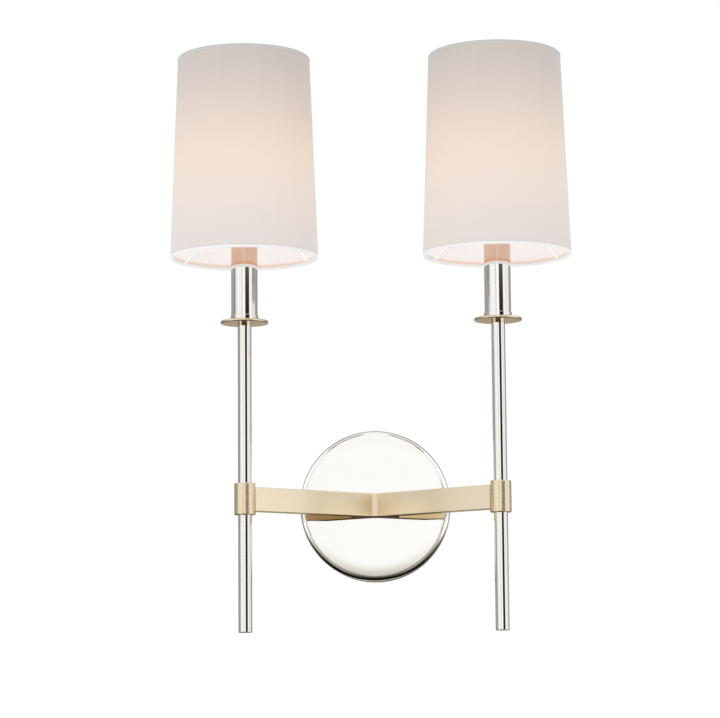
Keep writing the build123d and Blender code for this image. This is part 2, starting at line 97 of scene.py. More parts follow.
# %% [markdown]
# ## Writing node trees shortly
# Materials here are many small node trees. One helper adds a node, sets its properties and fills its inputs: an
# input that is another node's socket is linked, and anything else is a plain value.

# %% Node helpers


def add_node(tree, kind, inputs=None, **settings):
    """Adds a shader node; inputs maps socket names or numbers to values or to sockets to link."""
    made = tree.nodes.new("ShaderNode" + kind)
    for key, value in settings.items():
        setattr(made, key, value)
    for key, value in (inputs or {}).items():
        if isinstance(value, bpy.types.NodeSocket):
            tree.links.new(value, made.inputs[key])
        else:
            made.inputs[key].default_value = value
    return made


def math(tree, operation, *values):
    """One arithmetic node; returns its result."""
    return add_node(tree, "Math", dict(enumerate(values)), operation=operation).outputs[0]


def blend_colour(tree, factor, first, second, blend_type="MIX"):
    """Mixes two colours; returns the result."""
    made = add_node(tree, "Mix", {0: factor, 6: first, 7: second}, data_type="RGBA", blend_type=blend_type)
    return made.outputs[2]


def ramp(tree, position, stops, mode="LINEAR"):
    """Colour ramp from (position, colour) stops; a plain number is a grey."""
    made = add_node(tree, "ValToRGB", {0: position})
    made.color_ramp.interpolation = mode
    elements = made.color_ramp.elements
    while len(elements) < len(stops):
        elements.new(1.0)
    for element, (place, colour) in zip(elements, stops):
        element.position = place
        element.color = (colour, colour, colour, 1) if isinstance(colour, (int, float)) else (*colour, 1)
    return made.outputs[0]


print("node helpers ready")

# %% [markdown]
# ## Studio walls
# Polished metal has no colour of its own: it shows the room. A picture of a studio could stand round the sconce, but a
# room drawn by stops can be tuned line by line. The stops are degrees of turn, with 0 at the lens and the right side
# positive. At the lens's height there are soft white panels, a black gap to the right, which draws the dark line on
# the rods, a thin seam to the left and greyer walls beside and behind. Above and below it the gap ends. A ray that
# met metal before sees a room of its own with warmer sides, so brass mirrored in nickel stays golden.

# %% Walls by turn
GAP_COLOUR = (0.026, 0.017, 0.010)
BACK_GREY = 0.36
LEFT_WALL = (
    (-180, BACK_GREY), (-95, BACK_GREY), (-91, 0.14), (-86, 0.14), (-83, 0.46), (-80, 0.64), (-77.5, 0.83),
    (-68, 0.83), (-58, 1.0), (-20, 1.0),
)
SEAM = ((-18.5, 0.50), (-14, 0.50), (-12.5, 1.06))
DARK_GAP = ((8.5, 1.08), (12, GAP_COLOUR), (44.5, GAP_COLOUR), (48, 1.02), (60, 1.0), (70, 0.86), (88, 0.86))
RIGHT_WALL = (
    (92, 0.98), (106, (0.92, 0.89, 0.85)), (112, (0.40, 0.36, 0.325)), (140, (0.36, 0.335, 0.31)),
    (150, BACK_GREY), (180, BACK_GREY),
)
ROOM_STRIP = LEFT_WALL + SEAM + DARK_GAP + RIGHT_WALL
HIGH_STRIP = (
    (-180, (0.15, 0.125, 0.085)), (-134, (0.18, 0.155, 0.11)), (-124, 0.94), (-94, 0.95), (-86, 1.25), (-70, 1.25),
    (-58, 1.04), (58, 1.04), (70, 1.25), (86, 1.25), (94, 0.95), (124, 0.95), (134, (0.18, 0.155, 0.11)),
    (180, (0.15, 0.125, 0.085)),
)
LOW_STRIP = (
    (-180, BACK_GREY), (-95, BACK_GREY), (-80, 0.80), (-60, 1.0), (60, 1.0), (92, 0.98), (106, (0.92, 0.89, 0.85)),
    (112, (0.58, 0.53, 0.48)), (140, (0.54, 0.50, 0.47)), (150, BACK_GREY), (180, BACK_GREY),
)
LATER_STRIP = (
    (-180, BACK_GREY), (-126, BACK_GREY), (-118, (0.36, 0.23, 0.11)), (-96, (0.36, 0.23, 0.10)),
    (-84, (0.46, 0.34, 0.20)), (-70, 0.96), (-46, 1.0), (-38, 1.26), (-14, 1.26), (-8, 1.0), (8, 1.0), (14, 1.08),
    (38, 1.08), (46, 1.0), (84, 0.98), (96, (0.77, 0.65, 0.46)), (118, (0.74, 0.62, 0.45)), (126, 0.50),
    (180, BACK_GREY),
)
print("walls:", len(ROOM_STRIP), "stops round the room")

# %% [markdown]
# ## Studio floor, as metal sees it
# Below the lens the room grows dark, by stops in degrees of rise, and each row of stops holds in a wedge of turn. In
# front it darkens slowly, as the plate's border shows. At the rear quarters it is black from little below the horizon:
# only the plate's rounded lower edge shows it to the lens, as a crisp black crescent. Straight behind lies a pale
# warm band below a dim line.

# %% Darkness by rise
LOW_COLOUR = (0.007, 0.006, 0.004)
DEEP_GOLD = (0.06, 0.03, 0.006)
DIM_LINE = (0.16, 0.12, 0.08)
WARM_BAND = (1.40, 1.25, 1.07)
MIDDLE_BELOW = (
    (-90, LOW_COLOUR), (-58, LOW_COLOUR), (-46, (0.05, 0.045, 0.035)), (-24, (0.26, 0.24, 0.20)),
    (-9, (0.46, 0.43, 0.38)), (-5.6, (0.70, 0.68, 0.63)), (-4.0, (0.83, 0.815, 0.78)), (-2.0, (0.95, 0.945, 0.93)),
    (0, 1.0), (90, 1.0),
)
FRONT_BELOW = (
    (-90, LOW_COLOUR), (-66, LOW_COLOUR), (-56, (0.06, 0.055, 0.045)), (-44, (0.26, 0.24, 0.20)),
    (-28, (0.48, 0.45, 0.40)), (-10, (0.70, 0.67, 0.62)), (-5, (0.84, 0.825, 0.79)), (-2.2, (0.95, 0.945, 0.93)),
    (0, 1.0), (90, 1.0),
)
LATER_BELOW = ((-90, 0.5), (-78, 0.5), (-72, DEEP_GOLD), (-3.5, DEEP_GOLD), (0.5, 1.0), (90, 1.0))
SIDE_BELOW = (
    (-90, LOW_COLOUR), (-52, LOW_COLOUR), (-42, (0.05, 0.045, 0.038)), (-30, (0.22, 0.20, 0.17)),
    (-24, (0.55, 0.52, 0.46)), (-17, (1.20, 1.15, 1.05)), (-9, (1.45, 1.40, 1.28)), (-5, 1.0), (90, 1.0),
)
QUARTER_BELOW = (
    (-90, LOW_COLOUR), (-40, LOW_COLOUR), (-24, (0.06, 0.052, 0.042)), (-15, (0.22, 0.20, 0.17)), (-8, 1.0),
    (90, 1.0),
)
REAR_BELOW = (
    (-90, LOW_COLOUR), (-68, LOW_COLOUR), (-56, (1.6, 1.5, 1.28)), (-30, (1.5, 1.4, 1.2)), (-12, WARM_BAND),
    (-7, WARM_BAND), (-5.2, DIM_LINE), (-0.5, DIM_LINE), (0.5, 1.0), (90, 1.0),
)
MIDDLE_WEDGE = ((-180, 0), (-26, 0), (-14, 1), (14, 1), (26, 0), (180, 0))
FRONT_WEDGE = ((-180, 0), (-60, 0), (-42, 1), (42, 1), (60, 0), (180, 0))
QUARTER_WEDGE = ((-180, 1), (-114, 1), (-102, 0), (102, 0), (114, 1), (180, 1))
REAR_WEDGE = ((-180, 1), (-166, 1), (-154, 0), (154, 0), (166, 1), (180, 1))
GAP_FOOT = ((-90, 1), (-6, 1), (-2, 0), (90, 0))
GAP_HEIGHT = ((-90, 0), (9, 0), (13, 1), (90, 1))
CEILING_HEIGHT = ((-90, 0), (54, 0), (62, 1), (90, 1))
print("gap from", GAP_FOOT[2][0], "to", GAP_HEIGHT[1][0], "degrees, ceiling from", CEILING_HEIGHT[2][0])

# %% [markdown]
# ## Studio world
# The world's nodes turn a ray's direction into turn and rise and look both up in the rows above. The Light Path node
# says what kind of ray asks: rays that leave metal see the room, rays that leave matt surfaces see an even soft light,
# and the camera sees plain white.

# %% World nodes
SOFT_LIGHT = (0.735, 0.733, 0.731, 1)
WHITE = (1, 1, 1, 1)

world = bpy.data.worlds.new("studio")
scene.world = world
world.use_nodes = True
world.cycles.sampling_method = "NONE"
room = world.node_tree
way = add_node(room, "SeparateXYZ", {0: add_node(room, "TexCoord").outputs["Generated"]})
turn = math(room, "ARCTAN2", way.outputs["X"], math(room, "MULTIPLY", way.outputs["Y"], -1.0))
turn_place = math(room, "MULTIPLY_ADD", turn, 0.5 / pi, 0.5)
rise_place = math(room, "MULTIPLY_ADD", math(room, "ARCSINE", way.outputs["Z"]), 1 / pi, 0.5)


def by_turn(stops):
    """Colour by degrees of turn, -180 to 180."""
    return ramp(room, turn_place, [(angle / 360 + 0.5, colour) for angle, colour in stops])


def by_rise(stops):
    """Colour by degrees of rise, -90 to 90."""
    return ramp(room, rise_place, [(angle / 180 + 0.5, colour) for angle, colour in stops])


path = add_node(room, "LightPath")
later_bounce = math(room, "GREATER_THAN", path.outputs["Glossy Depth"], 1.5)
level_strip = blend_colour(room, by_rise(GAP_FOOT), by_turn(ROOM_STRIP), by_turn(LOW_STRIP))
first_strip = blend_colour(room, by_rise(GAP_HEIGHT), level_strip, by_turn(HIGH_STRIP))
strip = blend_colour(room, later_bounce, first_strip, by_turn(LATER_STRIP))
walls = blend_colour(room, by_rise(CEILING_HEIGHT), strip, WHITE)
first_below = blend_colour(room, by_turn(MIDDLE_WEDGE), by_rise(FRONT_BELOW), by_rise(MIDDLE_BELOW))
front_below = blend_colour(room, later_bounce, first_below, by_rise(LATER_BELOW))
side_below = blend_colour(room, by_turn(QUARTER_WEDGE), by_rise(SIDE_BELOW), by_rise(QUARTER_BELOW))
other_below = blend_colour(room, by_turn(REAR_WEDGE), side_below, by_rise(REAR_BELOW))
below = blend_colour(room, by_turn(FRONT_WEDGE), other_below, front_below)
panels = blend_colour(room, 1.0, walls, below, "MULTIPLY")
seen = math(room, "MAXIMUM", path.outputs["Is Camera Ray"], path.outputs["Is Transmission Ray"])
matt_or_metal = blend_colour(room, path.outputs["Is Glossy Ray"], SOFT_LIGHT, panels)
shown = blend_colour(room, seen, matt_or_metal, WHITE)
room.links.new(shown, room.nodes["Background"].inputs["Color"])
print("studio:", len(room.nodes), "nodes")

# %% [markdown]
# ## Surfaces from grids
# Each new piece is a grid of points from a formula: rows along a section and columns round an axis. Modelling tools
# could make the same shapes, but a formula says exactly what the shape is. One helper joins neighbouring points with
# faces, merges the points that meet at poles and seams, turns the faces outwards and shades them smoothly.

# %% Grid helpers


def full_turn(count):
    """Angles of a full turn in equal steps; the last step leads back to the first."""
    return np.linspace(0, 2 * pi, count, endpoint=False)


def grid_faces(rows, columns, wrap_rows, wrap_columns):
    """Corner numbers of the quads between neighbouring rows and columns of a grid, as an array of four columns."""
    row, column = np.meshgrid(
        np.arange(rows if wrap_rows else rows - 1), np.arange(columns if wrap_columns else columns - 1), indexing="ij"
    )
    row, column = row.ravel(), column.ravel()
    next_row, next_column = (row + 1) % rows, (column + 1) % columns
    corners = ((row, column), (next_row, column), (next_row, next_column), (row, next_column))
    return np.stack([r * columns + c for r, c in corners], 1)


def surface(name, grids, wrap_rows=False, wrap_columns=True, sharp=35, place_map=None):
    """Object from one or more grids of points, with doubles merged, faces turned outwards and smooth shading.
    place_map gives each point of the first grid its place on the cloth, as (along, up) in metres; a face that crosses
    the end of the turn has its places carried on past it."""
    mesh = bpy.data.meshes.new(name)
    points = np.concatenate([grid.reshape(-1, 3) for grid in grids])
    starts = np.cumsum([0] + [grid.shape[0] * grid.shape[1] for grid in grids[:-1]])
    faces = np.concatenate([
        start + grid_faces(grid.shape[0], grid.shape[1], wrap_rows, wrap_columns) for start, grid in zip(starts, grids)
    ])
    mesh.from_pydata(points.tolist(), [], faces.tolist())
    if place_map is not None:
        corners = place_map.reshape(-1, 2)[faces]
        longest = place_map[..., 0].max()
        crossing = corners[:, :, 0].max(1) - corners[:, :, 0].min(1) > longest / 2
        lap = np.where(crossing[:, None] & (corners[:, :, 0] < longest / 2), 1.0, 0.0)
        corners[:, :, 0] += lap * (longest + place_map[0, 1, 0] - place_map[0, 0, 0])
        mesh.uv_layers.new(name="cloth").data.foreach_set("uv", corners.reshape(-1).astype(np.float32))
    work = bmesh.new()
    work.from_mesh(mesh)
    bmesh.ops.remove_doubles(work, verts=work.verts, dist=1e-6)
    bmesh.ops.recalc_face_normals(work, faces=work.faces)
    work.to_mesh(mesh)
    work.free()
    mesh.polygons.foreach_set("use_smooth", np.ones(len(mesh.polygons), bool))
    mesh.set_sharp_from_angle(angle=radians(sharp))
    made = bpy.data.objects.new(name, mesh)
    scene.collection.objects.link(made)
    return made


print("grid helpers ready")

# %% [markdown]
# ## Floor
# The sconce hangs in the air here, as it would on a wall, so the floor lies well below it. It is a wide pale disc
# that takes the soft shadow. A mirror would show it as one flat sheet, so metal looks past it to the drawn room. A
# little emission keeps it as pale as the background.

# %% Floor
FLOOR_HEIGHT = -0.46
FLOOR_REACH = 14.0
FLOOR_GREY = (0.86, 0.86, 0.86, 1)


def new_finish(name, **plain):
    """Material with one Principled shader, whose plain values are set on its own sockets."""
    made = bpy.data.materials.new(name)
    made.use_nodes = True
    shader = made.node_tree.nodes["Principled BSDF"]
    for socket, value in plain.items():
        shader.inputs[socket.replace("_", " ")].default_value = value
    return made, made.node_tree, shader


def disc_points(radius, height, rings=12, around=96):
    """Flat disc as rings of points: radius times ring fraction, at equal turns."""
    part, angle = np.meshgrid(np.linspace(0, 1, rings), full_turn(around), indexing="ij")
    return np.stack([radius * part * np.cos(angle), radius * part * np.sin(angle), np.full_like(part, height)], -1)


floor = surface("floor", [disc_points(FLOOR_REACH, FLOOR_HEIGHT)])
floor.visible_glossy = False
floor_paint = new_finish(
    "floor_paint", Base_Color=FLOOR_GREY, Roughness=0.9, Specular_IOR_Level=0, Emission_Color=WHITE,
    Emission_Strength=0.22,
)[0]
floor.data.materials.append(floor_paint)
print("floor at", FLOOR_HEIGHT, "m")

# %% [markdown]
# ## Lamp of the studio
# Even light alone would leave the shades flat. One broad soft lamp stands in front, to the left and level with the
# sconce's middle, and makes the shades a little lighter on that side. Metal doesn't show it.

# %% Studio lamp
PANEL_PLACE, PANEL_AIM = Vector((-1.1, -1.9, 0.15)), Vector((0, -0.1, 0.15))
PANEL_SIZE, PANEL_POWER = 1.1, 2.8

panel = bpy.data.lights.new("left_panel", "AREA")
panel.shape = "DISK"
panel.size = PANEL_SIZE
panel.energy = PANEL_POWER
panel_lamp = bpy.data.objects.new("left_panel", panel)
scene.collection.objects.link(panel_lamp)
panel_lamp.location = PANEL_PLACE
panel_lamp.rotation_euler = (PANEL_AIM - PANEL_PLACE).to_track_quat("-Z", "Y").to_euler()
panel_lamp.visible_glossy = False
print("lamp of", PANEL_POWER, "W at", tuple(PANEL_PLACE))

# %% [markdown]
# ## Where the lamps stand
# Both lamps are built round an upright axis, and the two halves of the sconce mirror each other. Patterns that run
# round a lamp or along an arm can therefore be worked out from the distance to the middle, so one material serves
# both sides. The axis is read from the rods' own boxes.

# %% Lamp axes
rods = {"left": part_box("left_rod"), "right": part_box("right_rod")}
AXES = {side: ((low.x + high.x) / 2, (low.y + high.y) / 2) for side, (low, high) in rods.items()}
HALF_SPAN = AXES["right"][0]
REACH = -AXES["right"][1]
print("lamp axes:", AXES)

# %% [markdown]
# ## Brushing
# Three effects serve several finishes, and each is a node group that gives values from 0 to 1, so a material decides
# what a value changes and by how much. The first is brushing. A belt leaves long hair lines along the arm, so the
# noise is stretched: slow along the arm, quick across it. Broader streaks lie among the lines.

# %% Brushed lines
MEET_DEPTH = 0.0266
LINE_ALONG, STREAK_ALONG, STREAK_ACROSS = 26.0, 7.0, 320.0


def new_group(name, inputs, outputs):
    """Empty node group with float or vector inputs and float outputs; returns the tree and its two end nodes."""
    tree = bpy.data.node_groups.new(name, "ShaderNodeTree")
    for socket, kind, value in inputs:
        made = tree.interface.new_socket(socket, in_out="INPUT", socket_type="NodeSocket" + kind)
        if value is not None:
            made.default_value = value
    for socket in outputs:
        tree.interface.new_socket(socket, in_out="OUTPUT", socket_type="NodeSocketFloat")
    return tree, tree.nodes.new("NodeGroupInput"), tree.nodes.new("NodeGroupOutput")


def mirrored_place(tree):
    """Place on the object with X folded over to the right half: |x|, y, z."""
    place = add_node(tree, "SeparateXYZ", {0: add_node(tree, "TexCoord").outputs["Object"]})
    return math(tree, "ABSOLUTE", place.outputs["X"]), place.outputs["Y"], place.outputs["Z"]


arm_way = Vector((HALF_SPAN, -REACH + MEET_DEPTH)).normalized()
brushed, ends_in, ends_out = new_group("brushed_lines", [("Fineness", "Float", 2600.0)], ["Lines", "Streaks"])
across_x, across_y, height = mirrored_place(brushed)
along = math(brushed, "MULTIPLY_ADD", across_x, arm_way.x, math(brushed, "MULTIPLY", across_y, arm_way.y))
beside = math(brushed, "MULTIPLY_ADD", across_x, -arm_way.y, math(brushed, "MULTIPLY", across_y, arm_way.x))
fine = ends_in.outputs["Fineness"]
stroke = add_node(brushed, "CombineXYZ", {
    0: math(brushed, "MULTIPLY", along, LINE_ALONG),
    1: math(brushed, "MULTIPLY", beside, fine),
    2: math(brushed, "MULTIPLY", height, fine),
})
lines = add_node(brushed, "TexNoise", {"Vector": stroke.outputs[0], "Scale": 1.0, "Detail": 2.0, "Roughness": 0.6})
broad = add_node(brushed, "CombineXYZ", {
    0: math(brushed, "MULTIPLY", along, STREAK_ALONG),
    1: math(brushed, "MULTIPLY", beside, STREAK_ACROSS),
    2: math(brushed, "MULTIPLY", height, STREAK_ACROSS),
})
streaks = add_node(brushed, "TexNoise", {"Vector": broad.outputs[0], "Scale": 1.0, "Detail": 3.0})
brushed.links.new(lines.outputs[0], ends_out.inputs["Lines"])
brushed.links.new(streaks.outputs[0], ends_out.inputs["Streaks"])
print("group:", brushed.name)

# %% [markdown]
# ## Turning
# The collars and discs come off a lathe, whose tool leaves fine rings about the axis. Here the noise is quick in the
# distance from the lamp's axis and in height, and slow round it.

# %% Turned rings
RING_TURN = 1.5
WIDE_SHARE = (0.16, 0.16, 1.0)

turned, ends_in, ends_out = new_group("turned_rings", [("Fineness", "Float", 2400.0)], ["Rings", "Streaks"])
across_x, across_y, height = mirrored_place(turned)
out_x = math(turned, "SUBTRACT", across_x, HALF_SPAN)
out_y = math(turned, "ADD", across_y, REACH)
radius = math(turned, "SQRT", math(turned, "MULTIPLY_ADD", out_x, out_x, math(turned, "MULTIPLY", out_y, out_y)))
fine = ends_in.outputs["Fineness"]
ring_place = add_node(turned, "CombineXYZ", {
    0: math(turned, "MULTIPLY", radius, fine),
    1: math(turned, "MULTIPLY", height, fine),
    2: math(turned, "MULTIPLY", math(turned, "ARCTAN2", out_y, out_x), RING_TURN),
})
rings = add_node(turned, "TexNoise", {"Vector": ring_place.outputs[0], "Scale": 1.0, "Detail": 2.0})
wide_place = add_node(turned, "VectorMath", {0: ring_place.outputs[0], 1: WIDE_SHARE}, operation="MULTIPLY")
wide = add_node(turned, "TexNoise", {"Vector": wide_place.outputs[0], "Scale": 1.0, "Detail": 2.0})
turned.links.new(rings.outputs[0], ends_out.inputs["Rings"])
turned.links.new(wide.outputs[0], ends_out.inputs["Streaks"])
print("group:", turned.name)

# %% [markdown]
# ## Haze
# Handled metal and moulded plastic are never quite even: the polish has faint clouds, and the skin has a relief too
# fine to see as such. Two noises serve all of them: clouds of a given size, and specks forty times finer.

# %% Haze
SPECKS_PER_CLOUD = 40.0

haze, ends_in, ends_out = new_group("polish_haze", [("Size", "Float", 60.0)], ["Haze", "Specks"])
haze_place = add_node(haze, "TexCoord").outputs["Object"]
clouds = add_node(haze, "TexNoise", {"Vector": haze_place, "Scale": ends_in.outputs["Size"], "Detail": 4.0})
speck_size = math(haze, "MULTIPLY", ends_in.outputs["Size"], SPECKS_PER_CLOUD)
specks = add_node(haze, "TexNoise", {"Vector": haze_place, "Scale": speck_size, "Detail": 1.0})
haze.links.new(clouds.outputs[0], ends_out.inputs["Haze"])
haze.links.new(specks.outputs[0], ends_out.inputs["Specks"])
print("group:", haze.name)

# %% [markdown]
# ## Metals
# The rods, sleeves, seat rings and wall plate are polished nickel: nearly white, a little warm, and smooth enough
# to mirror the room. The arms, hub, collars and discs are satin brass, a rough metal whose brushing softens the same
# room into bands. Hidden steel is zinc plated, with a crystalline mottle. In each, the base colour and the roughness
# vary a little with the shared effects, and a shallow bump gives the lines.

# %% Metals
GLOSS_STRETCH = 0.75
ACROSS_ARM = (0.0, -0.05, 1.0)


def use_group(tree, group, inputs):
    """Places a node group in a material."""
    return add_node(tree, "Group", inputs, node_tree=group)


def spread(tree, value, low, high):
    """Stretches a value from 0..1 to low..high."""
    return math(tree, "MULTIPLY_ADD", value, high - low, low)


def bump(tree, shader, height, depth, strength=1.0):
    """Feeds a height of 0..1, times a depth in metres, to the shader's normal."""
    made = add_node(tree, "Bump", {"Height": height, "Distance": depth, "Strength": strength})
    tree.links.new(made.outputs[0], shader.inputs["Normal"])


def tint(tree, shader, value, dark, light):
    """Feeds the shader's base colour with a mix of two colours."""
    tree.links.new(blend_colour(tree, value, (*dark, 1), (*light, 1)), shader.inputs["Base Color"])


def lined_metal(name, group, output, dark, light, rough, depth, fineness, across=None):
    """Metal whose colour, roughness and relief follow the lines of a brushed or turned group. Across is the direction
    in which long straight lines stretch the gloss, so it crosses them."""
    made, tree, shader = new_finish(name, Metallic=1.0)
    if across:
        shader.inputs["Anisotropic"].default_value = GLOSS_STRETCH
        tree.links.new(add_node(tree, "CombineXYZ", dict(enumerate(across))).outputs[0], shader.inputs["Tangent"])
    effect = use_group(tree, group, {"Fineness": fineness})
    tint(tree, shader, effect.outputs["Streaks"], dark, light)
    tree.links.new(spread(tree, effect.outputs[output], *rough), shader.inputs["Roughness"])
    bump(tree, shader, effect.outputs[output], depth)
    return made


def clouded(name, dark, light, rough, size, depth, **plain):
    """Finish whose colour and roughness follow the haze of its polish, plating or moulding, with a fine relief."""
    made, tree, shader = new_finish(name, **plain)
    effect = use_group(tree, haze, {"Size": size})
    tint(tree, shader, effect.outputs["Haze"], dark, light)
    tree.links.new(spread(tree, effect.outputs["Haze"], *rough), shader.inputs["Roughness"])
    bump(tree, shader, effect.outputs["Specks"], depth)
    return made


CLOUDED_METALS = {
    "polished_nickel": ((0.90, 0.885, 0.855), (0.925, 0.912, 0.885), (0.02, 0.05), 40.0, 4e-8),
    "zinc_steel": ((0.52, 0.53, 0.54), (0.70, 0.71, 0.71), (0.28, 0.46), 220.0, 2e-5),
    "holder_brass": ((0.70, 0.52, 0.25), (0.80, 0.62, 0.34), (0.20, 0.36), 160.0, 6e-6),
    "lamp_cap": ((0.62, 0.60, 0.55), (0.76, 0.74, 0.70), (0.22, 0.36), 180.0, 6e-6),
}
finishes = {name: clouded(name, *values, Metallic=1.0) for name, values in CLOUDED_METALS.items()}
finishes["satin_brass"] = lined_metal(
    "satin_brass", brushed, "Lines", (0.87, 0.755, 0.565), (0.90, 0.785, 0.60), (0.26, 0.33), 1.2e-6, 2600.0, ACROSS_ARM
)
finishes["turned_brass"] = lined_metal(
    "turned_brass", turned, "Rings", (0.84, 0.705, 0.505), (0.885, 0.755, 0.555), (0.22, 0.29), 8e-7, 2200.0
)
print("metals:", sorted(finishes))

# %% [markdown]
# ## Plastics, enamel and insulation
# The fitter is white baked enamel, the lamp holder is pale moulded plastic, and the leads, connectors and bushing
# are coloured plastics. Moulded surfaces have a fine orange-peel relief and their colour clouds slightly, so all of
# them share the haze group with their own size and colours. The enamel has a small painted glow, which stands in for
# the lamp's light on it inside a lit shade.

# %% Plastics and enamel
MOULDED = {
    "white_enamel": ((0.86, 0.86, 0.85), (0.92, 0.92, 0.91), (0.22, 0.36), 90.0, 1.5e-5),
    "holder_plastic": ((0.78, 0.76, 0.70), (0.86, 0.84, 0.79), (0.38, 0.55), 120.0, 2e-5),
    "lead_black": ((0.012, 0.012, 0.013), (0.03, 0.03, 0.031), (0.35, 0.55), 200.0, 2e-5),
    "lead_white": ((0.72, 0.72, 0.70), (0.82, 0.82, 0.80), (0.35, 0.55), 200.0, 2e-5),
    "connector_orange": ((0.70, 0.18, 0.02), (0.82, 0.25, 0.04), (0.32, 0.5), 150.0, 2e-5),
    "bushing_black": ((0.015, 0.015, 0.016), (0.03, 0.03, 0.03), (0.4, 0.6), 150.0, 2e-5),
    "earth_green": ((0.03, 0.20, 0.07), (0.05, 0.28, 0.10), (0.25, 0.42), 220.0, 1e-5),
}
# The enamel's emission is a painted glow for the lamp's light inside the shade.
EXTRA = {"white_enamel": {"Emission_Strength": 0.22}, "earth_green": {"Metallic": 0.6}}
for name, values in MOULDED.items():
    finishes[name] = clouded(name, *values, **EXTRA.get(name, {}))
print("finishes:", len(finishes))

# %% [markdown]
# ## Lit lamp
# The lamps are on. A candle lamp's glass is frosted inside, so it glows as a whole, most strongly round the filament
# and less towards the neck and the tip. The glow is an emission colour by height; this light is what fills the shade.
# In metal across the sconce a lit lamp or shade would be an orange speck that the real one doesn't show, so mirrors
# farther than about a shade's width see painted shade: a darker colour and no glow.

# %% Lamp glass and filament
CLOSE = 0.12
LAMP_GLOW, FILAMENT_GLOW = 3.0, 6.0
# Painted shade: the lamp glass has no glow in distant mirrors.
FAR_GLASS = (0.02, 0.018, 0.015, 1)
COILS = 900.0


def link_close(tree, socket, colour, far_colour):
    """Feeds a shader's socket with a colour, or with the far colour where a mirror sees it from beyond CLOSE."""
    path = add_node(tree, "LightPath")
    far = math(tree, "GREATER_THAN", path.outputs["Ray Length"], CLOSE)
    near = math(tree, "SUBTRACT", 1.0, math(tree, "MULTIPLY", far, path.outputs["Is Glossy Ray"]))
    tree.links.new(blend_colour(tree, near, far_colour, colour), socket)


glass_low, glass_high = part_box("left_bulb_glass")
glass, tree, shader = new_finish("lamp_glass", Roughness=0.35, Emission_Strength=LAMP_GLOW)
height = add_node(tree, "SeparateXYZ", {0: add_node(tree, "TexCoord").outputs["Object"]}).outputs["Z"]
part = add_node(tree, "MapRange", {0: height, 1: glass_low.z, 2: glass_high.z, 3: 0.0, 4: 1.0}).outputs[0]
glow = ramp(tree, part, [(0.0, (0.10, 0.062, 0.04)), (0.18, (0.35, 0.22, 0.14)), (0.45, (1.0, 0.66, 0.43)),
                         (0.72, (0.85, 0.56, 0.36)), (1.0, (0.40, 0.26, 0.17))])
link_close(tree, shader.inputs["Emission Color"], glow, FAR_GLASS)
frost = use_group(tree, haze, {"Size": 140.0})
tint(tree, shader, frost.outputs["Haze"], (0.80, 0.79, 0.77), (0.88, 0.87, 0.85))
bump(tree, shader, frost.outputs["Specks"], 1e-5)
finishes["lamp_glass"] = glass

filament, tree, shader = new_finish("lamp_filament", Roughness=0.4, Emission_Strength=FILAMENT_GLOW)
coil = add_node(tree, "TexWave", {"Vector": add_node(tree, "TexCoord").outputs["Object"], "Scale": COILS},
                bands_direction="Z")
coil_colour = ramp(tree, coil.outputs[0], [(0, (0.9, 0.5, 0.2)), (1, (1.0, 0.8, 0.5))])
tree.links.new(coil_colour, shader.inputs["Emission Color"])
finishes["lamp_filament"] = filament
print("lamp glass from", round(glass_low.z, 4), "to", round(glass_high.z, 4))

# %% [markdown]
# ## Finishes on the carried-over nodes
# Each node of the frame already names its finish in its material. Rods and sleeves keep nickel; round brass pieces get
# the turned finish, because they come off a lathe, while the arms and hub are brushed along the arm.

# %% Dress the nodes
TURNED = ("disc", "collar", "collar_screws")
for name, node in nodes.items():
    slot = node.material_slots[0].material.name.split(".")[0]
    if slot == "satin_brass" and name.endswith(TURNED):
        slot = "turned_brass"
    if slot in finishes:
        node.material_slots[0].material = finishes[slot]
print("dressed:", len(nodes), "nodes")

# %% [markdown]
# ## Shades
# Each shade is a tapered drum: cloth laminated to a stiff white liner, turned over a wire at each end and covered
# there by a narrow hem tape. The cloth overlaps itself in one glued seam at the back. A cone with a thickness could
# stand for all of it, but the cloth, liner and hems catch light in different ways, so each is its own surface: a
# section carried round the lamp's axis.

# %% Shade sizes
ring_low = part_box("right_shade_bottom_ring")
ring_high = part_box("right_shade_top_ring")
WIRE_R = (ring_low[1].z - ring_low[0].z) / 2
FOOT_WIRE = np.array([ring_low[1].x - HALF_SPAN - WIRE_R, ring_low[0].z + WIRE_R])
TOP_WIRE = np.array([ring_high[1].x - HALF_SPAN - WIRE_R, ring_high[0].z + WIRE_R])
HEM_R = float(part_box("right_shade_wall")[1].z - TOP_WIRE[1])
slant = (TOP_WIRE - FOOT_WIRE) / np.linalg.norm(TOP_WIRE - FOOT_WIRE)
outward = np.array([slant[1], -slant[0]])
CLOTH_FOOT = FOOT_WIRE + outward * HEM_R
CLOTH_TOP = TOP_WIRE + outward * HEM_R
CLOTH_RUN = float(np.linalg.norm(CLOTH_TOP - CLOTH_FOOT))
print("shade: wires at", FOOT_WIRE.round(4), TOP_WIRE.round(4))
print("hem radius", round(HEM_R, 5), "run", round(CLOTH_RUN, 4))

# %% [markdown]
# ## Layers of the wall
# Cloth and liner are glued sheets, each about 0.3 mm thick. A face without thickness could stand for each, but their
# edges show, so each is a closed section, up one face and down the other. The seam is a swell of the cloth's radius.

# %% Sections of the cloth and liner
CLOTH_T, LINER_T, LAYER_GAP = 0.00026, 0.00032, 0.00005
CLOTH_ROWS, LINER_ROWS, AROUND = 40, 24, 240
SEAM_HALF, LAP_EDGE, LAP_FADE = 0.004, 0.0004, 0.004
LAP_RISE = CLOTH_T * 0.9


def carry_round(section, axis, swell=None):
    """Section (radius, height) carried round an upright axis: x = r cos a, y = r sin a, z = height. swell adds to the
    radius a value for each turn and section point."""
    angle = full_turn(AROUND)[None, :]
    radius = section[:, :1] + (0 if swell is None else swell)
    flat = np.broadcast_to(section[:, 1:], (len(section), AROUND))
    return np.stack([axis[0] + radius * np.cos(angle), axis[1] + radius * np.sin(angle), flat], -1)


